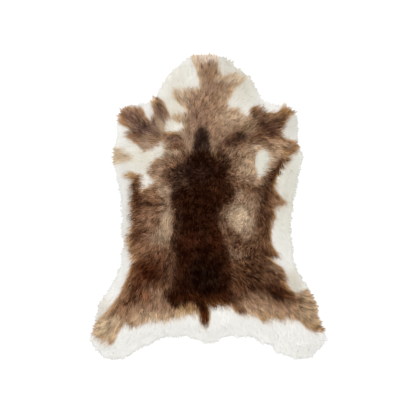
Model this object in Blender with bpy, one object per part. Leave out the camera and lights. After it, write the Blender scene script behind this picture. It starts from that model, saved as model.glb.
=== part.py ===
"""A reindeer hide laid flat on its flesh side, hair side up.

One solid: the tanned skin together with the coat that grows from it, out to where the hair
tips reach. The underside is flat. The coat is deepest inside, rolls down to the ground all
round the rim, and lies a little unevenly over the back, the shoulders and the flanks.

Metres, +Z up, +Y towards the neck. The origin is under the middle of the hide's box.
"""

from math import exp

import bmesh
import bpy
from mathutils import Vector
from mathutils.geometry import intersect_point_line

# Sizes of the coat and skin.
COAT_TOP = 0.031  # skin and lying hair together, on the even part of the hide
RIM_EDGE = 0.004  # height of the outermost hair where it lies on the ground
RIM_ROLL = 0.045  # how far inside the rim the coat reaches its full depth
RIM_STEPS = 3  # points read from the rim curve for each point of RIM

# Where the hair tips reach, as (across, along), from the neck anticlockwise round the hide.
RIM = (
    # end of the neck
    (0.025, 0.593),
    (-0.030, 0.597),
    (-0.066, 0.590),
    # left side of the neck
    (-0.100, 0.565),
    (-0.140, 0.530),
    (-0.166, 0.505),
    (-0.188, 0.465),
    (-0.200, 0.438),
    # left foreleg
    (-0.225, 0.413),
    (-0.270, 0.404),
    (-0.305, 0.397),
    (-0.336, 0.382),
    (-0.352, 0.350),
    (-0.358, 0.310),
    (-0.359, 0.268),
    (-0.369, 0.225),
    (-0.375, 0.180),
    # left flank
    (-0.364, 0.135),
    (-0.353, 0.080),
    (-0.343, 0.020),
    (-0.339, -0.040),
    (-0.341, -0.105),
    (-0.334, -0.150),
    (-0.341, -0.190),
    (-0.346, -0.222),
    (-0.365, -0.275),
    (-0.395, -0.328),
    # left hind leg
    (-0.426, -0.370),
    (-0.438, -0.420),
    (-0.453, -0.475),
    (-0.462, -0.520),
    (-0.438, -0.560),
    (-0.402, -0.596),
    (-0.355, -0.599),
    (-0.306, -0.585),
    (-0.260, -0.555),
    (-0.222, -0.539),
    (-0.186, -0.518),
    # rump
    (-0.130, -0.512),
    (-0.075, -0.511),
    (-0.035, -0.530),
    (0.000, -0.537),
    (0.032, -0.530),
    (0.068, -0.511),
    (0.125, -0.512),
    (0.176, -0.512),
    # right hind leg
    (0.205, -0.535),
    (0.242, -0.543),
    (0.265, -0.568),
    (0.310, -0.588),
    (0.355, -0.597),
    (0.400, -0.590),
    (0.438, -0.555),
    (0.462, -0.522),
    (0.452, -0.475),
    (0.436, -0.420),
    (0.422, -0.370),
    (0.396, -0.322),
    # right flank
    (0.366, -0.270),
    (0.344, -0.225),
    (0.336, -0.185),
    (0.329, -0.130),
    (0.326, -0.060),
    (0.334, 0.000),
    (0.345, 0.060),
    (0.353, 0.110),
    (0.368, 0.160),
    (0.373, 0.200),
    # right foreleg
    (0.360, 0.235),
    (0.349, 0.270),
    (0.353, 0.320),
    (0.340, 0.365),
    (0.308, 0.395),
    (0.262, 0.402),
    (0.220, 0.413),
    # right side of the neck
    (0.199, 0.443),
    (0.182, 0.480),
    (0.158, 0.513),
    (0.120, 0.540),
    (0.093, 0.567),
    (0.070, 0.584),
)

# Rings of the coat between the rim and the middle, as shares of the way out from the middle.
RING_SHARES = (0.99, 0.975, 0.955, 0.93, 0.895, 0.84, 0.75, 0.64, 0.52, 0.40, 0.28, 0.16)

# Where the coat stands higher or lies lower than COAT_TOP.
# Columns: middle across, middle along, reach across, reach along, rise.
SWELLS = (
    (0.000, 0.480, 0.100, 0.090, 0.003),  # mane on the neck
    (-0.270, 0.320, 0.070, 0.070, 0.002),  # left shoulder
    (0.260, 0.320, 0.080, 0.070, 0.003),  # right shoulder
    (-0.020, 0.120, 0.110, 0.200, 0.003),  # ridge of the back
    (0.000, -0.250, 0.100, 0.160, 0.002),  # loin
    (-0.220, 0.012, 0.080, 0.014, -0.005),  # parting across the left flank
    (0.130, -0.040, 0.060, 0.060, 0.002),  # crown on the right flank
    (0.200, 0.080, 0.030, 0.090, -0.003),  # hollow behind the right shoulder
    (-0.140, -0.080, 0.030, 0.130, -0.002),  # hollow beside the back
    (-0.360, -0.500, 0.080, 0.080, 0.002),  # left thigh
    (0.360, -0.500, 0.080, 0.080, 0.002),  # right thigh
)

HAIR_COLOUR = (0.23, 0.14, 0.09, 1.0)
HAIR_ROUGHNESS = 0.85


def remove_scene_objects():
    for obj in list(bpy.data.objects):
        bpy.data.objects.remove(obj)


def hide_collection():
    collection = bpy.data.collections.new("reindeer_hide")
    bpy.context.scene.collection.children.link(collection)
    return collection


def rim_mesh(collection):
    """The rim as a closed line of edges, centred on the origin."""
    curve = bpy.data.curves.new("rim_line", "CURVE")
    curve.resolution_u = RIM_STEPS
    spline = curve.splines.new("BEZIER")
    spline.use_cyclic_u = True
    spline.bezier_points.add(len(RIM) - 1)
    for point, (across, along) in zip(spline.bezier_points, RIM):
        point.co = (across, along, 0.0)
        point.handle_left_type = "AUTO"
        point.handle_right_type = "AUTO"
    guide = bpy.data.objects.new("rim_line", curve)
    collection.objects.link(guide)
    graph = bpy.context.evaluated_depsgraph_get()
    mesh = bpy.data.meshes.new_from_object(guide.evaluated_get(graph))
    bpy.data.objects.remove(guide)
    across = [vertex.co.x for vertex in mesh.vertices]
    along = [vertex.co.y for vertex in mesh.vertices]
    middle = Vector((max(across) + min(across), max(along) + min(along), 0.0)) / 2
    for vertex in mesh.vertices:
        vertex.co -= middle
    return mesh


def distance_to_rim(place, rim):
    """How far inside the rim a place on the ground is."""
    nearest = RIM_ROLL
    for start, end in zip(rim, rim[1:] + rim[:1]):
        foot, share = intersect_point_line(place, start, end)
        foot = start.lerp(end, min(1.0, max(0.0, share)))
        nearest = min(nearest, (place - foot).length)
    return nearest


def coat_height(place, rim):
    """Height of the lying hair over a place on the ground."""
    inside = distance_to_rim(place, rim) / RIM_ROLL
    roll = (1 - (1 - inside) ** 2) ** 0.5
    swell = sum(
        rise
        * exp(-(((place.x - across) / reach_across) ** 2 + ((place.y - along) / reach_along) ** 2))
        for across, along, reach_across, reach_along, rise in SWELLS
    )
    return RIM_EDGE + (COAT_TOP + swell - RIM_EDGE) * roll


def extrude_ring(bm, ring):
    """Extrudes a closed ring of edges and returns the new ring's edges and vertices."""
    made = bmesh.ops.extrude_edge_only(bm, edges=ring)["geom"]
    edges = [item for item in made if isinstance(item, bmesh.types.BMEdge)]
    vertices = {item for item in made if isinstance(item, bmesh.types.BMVert)}
    return [edge for edge in edges if set(edge.verts) <= vertices], vertices


def build_hide(collection):
    mesh = rim_mesh(collection)
    bm = bmesh.new()
    bm.from_mesh(mesh)
    rim = [vertex.co.copy() for vertex in bm.verts]
    ring = bm.edges[:]
    bmesh.ops.contextual_create(bm, geom=ring)
    # The lowest hair stands straight up from the rim, and each ring after it lies further in.
    ring, vertices = extrude_ring(bm, ring)
    for vertex in vertices:
        vertex.co.z = RIM_EDGE
    share_now = 1.0
    for share in RING_SHARES:
        ring, vertices = extrude_ring(bm, ring)
        for vertex in vertices:
            place = Vector((vertex.co.x, vertex.co.y, 0.0)) * (share / share_now)
            vertex.co = (place.x, place.y, coat_height(place, rim))
        share_now = share
    crown = bmesh.ops.contextual_create(bm, geom=ring)["faces"]
    bmesh.ops.poke(bm, faces=crown)
    bmesh.ops.recalc_face_normals(bm, faces=bm.faces[:])
    bm.to_mesh(mesh)
    bm.free()
    mesh.name = "hide"
    mesh.shade_smooth()
    hide = bpy.data.objects.new("hide", mesh)
    collection.objects.link(hide)
    return hide


def hair_material():
    material = bpy.data.materials.new("brown_hair")
    material.use_nodes = True
    shader = material.node_tree.nodes["Principled BSDF"]
    shader.inputs["Base Color"].default_value = HAIR_COLOUR
    shader.inputs["Roughness"].default_value = HAIR_ROUGHNESS
    shader.inputs["Metallic"].default_value = 0.0
    return material


remove_scene_objects()
hide = build_hide(hide_collection())
hide.data.materials.append(hair_material())
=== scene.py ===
# %% [markdown]
# # A reindeer hide, laid flat with the hair up
# The real thing is one tanned skin. Its flesh side lies on the floor, and from its other side grows
# a dense coat: short wool close to the skin, and straight guard hair about 40 mm long above it.
# The lesson first finds out where everything lies and which colour it has, and then makes the hair,
# the wool and the skin. The colours are the animal's own markings. They belong to the hair, so they
# are worked out once over the whole hide, and every lock takes its own from there. The frame that
# is loaded here already holds the hide as a plain CAD solid.

import bmesh
import bpy
import numpy as np
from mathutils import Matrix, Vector, noise
from mathutils.bvhtree import BVHTree


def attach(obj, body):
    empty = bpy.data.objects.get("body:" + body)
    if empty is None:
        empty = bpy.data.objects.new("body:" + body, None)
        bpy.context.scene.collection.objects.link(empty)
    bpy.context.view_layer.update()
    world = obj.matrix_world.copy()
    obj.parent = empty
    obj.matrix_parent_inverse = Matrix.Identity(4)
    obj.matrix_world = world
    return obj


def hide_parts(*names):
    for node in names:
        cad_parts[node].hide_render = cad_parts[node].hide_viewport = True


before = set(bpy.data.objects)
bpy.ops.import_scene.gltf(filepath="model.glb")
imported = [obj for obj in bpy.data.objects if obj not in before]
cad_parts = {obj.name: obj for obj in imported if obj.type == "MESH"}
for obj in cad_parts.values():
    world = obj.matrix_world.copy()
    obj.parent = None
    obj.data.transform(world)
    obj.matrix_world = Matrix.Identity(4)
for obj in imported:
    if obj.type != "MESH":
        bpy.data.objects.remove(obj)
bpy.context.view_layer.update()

CM = 0.01
MM = 0.001
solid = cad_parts["hide"]

# %% [markdown]
# ## The rim
# The trimmed edge of a hide is one closed line. Here it is the ring of points where the CAD solid
# touches the ground, put in order by their direction from the middle. How far inside that line a
# spot lies, and which way is out, decide most of what follows: where the skin ends, how high the
# hair stands and where its tips point. Taking the line from the solid keeps skin and hair on it.

# %% The rim of the hide
ON_GROUND = 0.1 * MM  # all that lies lower counts as touching
ground = np.unique([tuple(v.co.xy) for v in solid.data.vertices if v.co.z < ON_GROUND], axis=0)
rim = ground[np.argsort(np.arctan2(ground[:, 1], ground[:, 0]))]


def inset(places, outline):
    """How far inside a closed outline each place lies; below zero outside it."""
    x, y = places.T
    nearest = np.full(len(places), np.inf)
    inside = np.zeros(len(places), bool)
    for (ax, ay), (bx, by) in zip(outline, np.roll(outline, -1, axis=0)):
        run, rise = bx - ax, by - ay
        share = np.clip(((x - ax) * run + (y - ay) * rise) / (run * run + rise * rise), 0, 1)
        nearest = np.minimum(nearest, np.hypot(x - ax - share * run, y - ay - share * rise))
        if rise:
            inside ^= ((ay > y) != (by > y)) & (x < ax + (y - ay) * run / rise)
    return np.where(inside, nearest, -nearest)


def outward(places):
    """Direction to the nearest rim, from how the inset changes over a millimetre, and the inset."""
    here = inset(places, rim)
    slope = np.stack([inset(places + step, rim) - here for step in np.eye(2) * MM], 1) / MM
    return -slope / np.maximum(np.linalg.norm(slope, axis=1), 1e-6)[:, None], here


print("Points on the rim:", len(rim))

# %% [markdown]
# ## Charts
# Asking the solid thousands of times how high it is would be slow. So a value that is needed often
# is worked out once on an even grid, here called a chart, and read from that. The first chart holds
# the height of the lying hair: it is read by looking straight down on the CAD solid.

# %% A chart of the coat's height
CHART_MARGIN = 3 * CM
HEIGHT_STEP = 5 * MM
solid_tree = BVHTree.FromPolygons(
    [v.co for v in solid.data.vertices], [p.vertices for p in solid.data.polygons]
)


def look_down(x, y):
    """Height of the CAD solid over one spot, or 0 beside it."""
    hit = solid_tree.ray_cast(Vector((x, y, 1)), Vector((0, 0, -1)))[0]
    return hit.z if hit else 0.0


def chart(step, work):
    """Values worked out once on an even grid over the hide, to be read many times."""
    low = rim.min(0) - CHART_MARGIN
    count = np.ceil((rim.max(0) + CHART_MARGIN - low) / step).astype(int) + 1
    across, along = np.meshgrid(*(low[k] + step * np.arange(count[k]) for k in (0, 1)), indexing="ij")
    values = work(np.column_stack([across.ravel(), along.ravel()]))
    return low, step, values.reshape(*count, -1)


def read(drawn, places):
    """Values of a chart at many places, blended between the nearest four grid points."""
    low, step, values = drawn
    last = np.array(values.shape[:2]) - 1.001  # just short of the last point, so that one follows
    at = np.clip((places - low) / step, 0, last)
    i, j = np.floor(at).astype(int).T
    u, v = (at - np.floor(at)).T[:, :, None]
    near = values[i, j] * (1 - u) + values[i + 1, j] * u
    far = values[i, j + 1] * (1 - u) + values[i + 1, j + 1] * u
    return near * (1 - v) + far * v


heights = chart(HEIGHT_STEP, lambda places: np.array([look_down(x, y) for x, y in places]))


def coat_height(places):
    """Height of the lying hair over each place."""
    return read(heights, places)[:, 0]


print("Deepest coat:", round(heights[2].max() / MM, 1), "mm")

# %% [markdown]
# ## Soft noise
# Animal markings have no ruled edges, and hair never lies quite straight. A smooth noise, read at
# each place, pushes edges in and out and turns the hair a little. Purely random numbers would jump
# from hair to hair instead.

# %% A noise that is read at many places
NOISE_GAIN = 1.6  # brings Blender's noise, which keeps near the middle, to about -1 to 1


def drift(places, size, seed):
    """A smooth random value at each place. size is the width of one wave; each seed is a new noise."""
    return np.array([noise.noise(Vector((x / size, y / size, seed))) for x, y in places]) * NOISE_GAIN


print("Noise near the middle of the hide:", drift(np.full((1, 2), 3 * MM), CM, 1).round(3))

# %% [markdown]
# ## The colours of the markings
# The ground colour is a cream white. Over it lie patches of brown hair. Fur isn't dyed evenly
# inside a patch: the middle is darkest, hairs nearer the edge have paler tips, and the last tips
# that lie over the white are golden. Colours are picked as hex values, as on a screen. Blender
# mixes light, so they are turned to linear first.

# %% Colours
def linear(hex_colour):
    """An sRGB hex colour as linear red, green and blue."""
    share = np.array([int(hex_colour[i : i + 2], 16) for i in (1, 3, 5)]) / 255
    return np.where(share <= 0.04045, share / 12.92, ((share + 0.055) / 1.055) ** 2.4)


CREAM = "#efeeea"
GOLD = "#ad8043"
TAN = "#c4a87e"
print("Gold as linear colour:", linear(GOLD).round(3))

# %% [markdown]
# ## The patches
# A patch has an outline, in centimetres from the middle of the hide, +Y towards the neck, and a
# colour for its core, one for its tips and one for its fringe. A picture of the markings could be
# mapped on instead; drawn outlines stay sharp at any distance and can be changed one by one. The
# dark back comes last, because its hair lies over all the rest.

# %% The patches
# Columns: name, core, tips, fringe, reach of the tips in cm, streaks, edge in cm, outline.
PATCHES = (
    ("neck stripe", "#957a63", "#b09880", TAN, 2.5, 0.25, 1.5, (
        (-7, 61), (3.2, 61), (3.5, 56), (4.1, 53.2), (5.6, 51.2), (8.1, 51.1), (10.3, 51.8), (12.6, 51.2),
        (14.8, 50.3), (13.4, 48.9), (11, 47.2), (9.4, 45.6), (8, 42), (-1, 42), (-1.6, 45.6),
        (-3.2, 47.6), (-3.9, 50.4), (-4.4, 53.4), (-5.8, 57),
    )),
    ("nape", "#9a7e67", "#ac927a", TAN, 2.2, 0.29, 1.3, (
        (-13.2, 45.3), (-8, 45.3), (-2.6, 45.9), (10, 45.4), (8.2, 42.4), (7.1, 40.2), (7.5, 38.5),
        (9, 38.1), (12, 38.4), (12.5, 36.7), (14.3, 35), (17.4, 33.8), (19.4, 31), (20, 28), (17, 26),
        (8, 22), (0, 20), (-8, 20), (-11.4, 22), (-10.6, 29.5), (-9.2, 30.6), (-9.3, 32), (-11.2, 32.6),
        (-13, 33.8), (-14, 35), (-12.6, 36.1), (-10.4, 36.1), (-8.3, 36.5), (-8.7, 38.2), (-10.4, 39.8),
        (-12.7, 42), (-13.7, 43.8),
    )),
    ("left neck spot", "#5c463b", "#8d7360", GOLD, 1.7, 0.25, 1, (
        (-22.2, 41.3), (-21, 42.8), (-19.4, 42.6), (-18, 41.7), (-16.9, 40), (-16.2, 38.2), (-15.3, 36.8),
        (-14.9, 35.4), (-15.6, 34.2), (-16.2, 33), (-16.4, 31), (-17, 30), (-18.2, 32), (-19.9, 34.4),
        (-20.9, 36.2), (-21.3, 38), (-21.9, 39.6),
    )),
    ("left shoulder", "#78604f", "#947862", GOLD, 2.2, 0.25, 1.1, (
        (-35.2, 36), (-34, 37.6), (-32.2, 39), (-30, 38.9), (-27.4, 38.8), (-25.3, 38), (-24.5, 36.4),
        (-24.2, 34.8), (-23.4, 33.6), (-22.2, 34.3), (-21.4, 35.6), (-20.4, 36), (-19.4, 34),
        (-18.2, 31.6), (-16.9, 29.6), (-17, 27.6), (-18.2, 26), (-18.6, 24.8), (-20.2, 23.6),
        (-22.4, 22.4), (-25, 21.3), (-26.2, 22.8), (-27.2, 24.8), (-29.5, 25.2), (-30.4, 26.6),
        (-32, 27.6), (-30.9, 29), (-30.2, 30.4), (-31.6, 31.4), (-33.4, 32.2), (-35, 33.6),
    )),
    ("left rim spot", "#ad9a80", "#c2b39c", "#d2c6b2", 2, 0.12, 1.6, (
        (-38, 22.8), (-35.4, 23.2), (-33.4, 22.6), (-31.8, 21), (-29.8, 20.3), (-29, 19.3), (-30, 18.2),
        (-32.4, 17.4), (-35, 17), (-38, 16.6),
    )),
    ("body", "#71523d", "#7d5d44", GOLD, 1.6, 0.3, 1.2, (
        (-17.5, 28.2), (-15.8, 29), (-11, 29.2), (-9.6, 26), (-7, 22), (3, 21), (6, 26), (9, 28.6),
        (14, 30.4), (17, 31), (19.5, 31), (22, 30), (26, 28.5), (28.4, 27.2), (30.4, 26.2), (33, 25.8),
        (36.4, 24.9), (35.8, 23.2), (34.8, 21.6), (33.2, 20.4), (32, 19.2), (30.8, 17.4), (29.5, 15.8),
        (28.2, 13.9), (27, 11.9), (26.3, 10), (25.8, 8.4), (26.5, 6), (28.2, 4), (30.6, 2.2), (30, 1.2),
        (27.8, 0.4), (26.2, -0.6), (26, -2), (26.5, -4), (25.1, -5.7), (24.8, -9), (24.3, -12),
        (24.4, -14), (25.4, -16), (27.7, -19.3), (26.4, -20.1), (24.6, -20.3), (26, -21.6), (29.3, -24.1),
        (30.2, -26), (30.4, -30), (32, -32.3), (33.8, -33.3), (35.6, -33), (38.4, -32), (40, -33),
        (42, -36), (43.9, -40), (45.4, -46), (44.8, -48.6), (41, -48.5), (38.5, -47), (36.5, -45),
        (34.5, -43.7), (31, -43.5), (29, -44.3), (27, -43.5), (25, -43.7), (22, -44.9), (20.5, -44.2),
        (19.3, -42.7), (15, -41.6), (12.4, -41.8), (10.2, -40.4), (9.2, -38.8), (8, -38.9), (5, -38.4),
        (3, -38.7), (0.5, -38.6), (0.8, -42), (0.6, -45.2), (-0.7, -46.5), (-2.1, -46.2), (-2.9, -44.6),
        (-3.1, -42.2), (-7, -41.6), (-10, -42.3), (-13, -43.2), (-16, -44), (-20, -44.3), (-24, -44.9),
        (-27, -45.8), (-29.4, -46.8), (-31, -46.2), (-32.8, -45.4), (-34, -47), (-35.2, -49),
        (-36.2, -51.6), (-37.2, -53.4), (-38.2, -53.6), (-40, -52.2), (-43.4, -51.2), (-45.2, -48.8),
        (-44.4, -45.6), (-42.4, -43.4), (-40.4, -41.8), (-38.6, -39.8), (-36.6, -37.2), (-34.4, -34.6),
        (-32.9, -31.2), (-31.4, -26.8), (-29.6, -23), (-29.6, -20.8), (-31.2, -17.2), (-32, -13.8),
        (-30.5, -9), (-29.9, -5), (-30.5, 0), (-30.2, 5), (-29.8, 9.6), (-32.2, 12.3), (-30.5, 13.7),
        (-27.6, 13.2), (-26, 12.3), (-25.7, 8), (-25, 6.7), (-23.5, 7.5), (-21.9, 8.9), (-20.4, 10.4),
        (-22, 11.6), (-23.3, 13), (-23.1, 14.4), (-22.5, 16), (-20.7, 17.9), (-18.9, 19), (-17.6, 19.9),
        (-16.9, 21.4), (-16.8, 23.6), (-17.4, 25.6),
    )),
    ("right shoulder", "#523a2c", "#73543f", GOLD, 1.6, 0.3, 1.1, (
        (15.6, 35.4), (15.9, 37), (16.8, 38.4), (17.8, 39.2), (19.4, 39.2), (20.8, 38.6), (21.6, 37.3),
        (23, 36.6), (25, 36.8), (26.8, 36.5), (28.4, 37.7), (29.3, 39.5), (30, 39.7), (31.6, 39.1),
        (32.9, 37.7), (33.5, 36.4), (32, 35.4), (31.1, 34), (30, 32.9), (29, 31), (28.9, 28.8),
        (28, 27.4), (26, 26.2), (23.6, 26), (22, 27.2), (19.8, 29.2), (17.1, 31.8), (16.3, 34),
    )),
)
BACK_PATCHES = (
    ("spine top", "#281a15", "#43322a", "#5b4639", 1.6, 0.22, 1.3, (
        (-4.7, 30), (-3.6, 31.3), (-2, 31.2), (0, 30), (0.7, 27), (0.9, 24.5), (1.6, 22), (-6.5, 20),
        (-6, 24), (-5.2, 27),
    )),
    ("back", "#230c03", "#301a0f", "#4a2e1e", 1.8, 0.28, 1.3, (
        (-5.8, 21.5), (-7.4, 19.7), (-9, 17.7), (-11.5, 16.5), (-13.5, 15), (-15, 13), (-15.5, 10.5),
        (-14.8, 8), (-14.5, 5), (-13.5, -1), (-12.8, -4), (-13, -7), (-13.7, -9.5), (-14.7, -13.2),
        (-14.8, -15.4), (-14, -17), (-12.9, -18), (-12.6, -21), (-12.9, -25), (-14.6, -30.6),
        (-16.9, -32.3), (-17.1, -34.5), (-16, -36.8), (-14, -38.8), (-12, -39.7), (-11.4, -38.6),
        (-9, -37.6), (-7, -37.4), (-5, -38.3), (-3.6, -39.6), (-3, -42), (-2.7, -44.8), (-2, -46.2),
        (-0.6, -46.3), (0.1, -45), (0.4, -42), (0.5, -38.8), (3, -38.8), (5, -38.3), (8, -38.2),
        (9.5, -38.4), (10, -36.5), (9, -30), (9.6, -26), (9, -22), (8.6, -18), (6.6, -14), (4.6, -8),
        (4.5, -2.7), (5.2, -0.8), (6.8, 0.8), (10, 2.3), (10.3, 4), (10, 6.5), (8, 10.5), (7.5, 13),
        (8, 15), (9.3, 16.3), (9, 18), (5.4, 18.2), (1.8, 20.4), (0.8, 22.6),
    )),
)
# The white spot inside the brown of the right side.
WHITE_SPOT_EDGE = 0.7
WHITE_SPOT = (
    (19.8, 22), (22, 22.9), (23.8, 21.5), (24.6, 19.5), (24, 17), (22.8, 14.5), (21.8, 12.3),
    (20.4, 10.6), (19.3, 11.5), (18.5, 13.6), (18.1, 17), (18.4, 20.4),
)
outlines = [row[-1] for row in (*PATCHES, *BACK_PATCHES)] + [WHITE_SPOT]
print("Outlines:", len(outlines), " points:", sum(len(outline) for outline in outlines))

# %% [markdown]
# ## The shades inside them
# Inside one patch the hair goes from light to dark and back without an edge. Each shade is a soft
# cloud, an ellipse that fades outwards. Later rows lie over earlier ones. Painting them by hand on
# the finished hide would do as well; in a table each can be moved, turned and tinted on its own.

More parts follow.
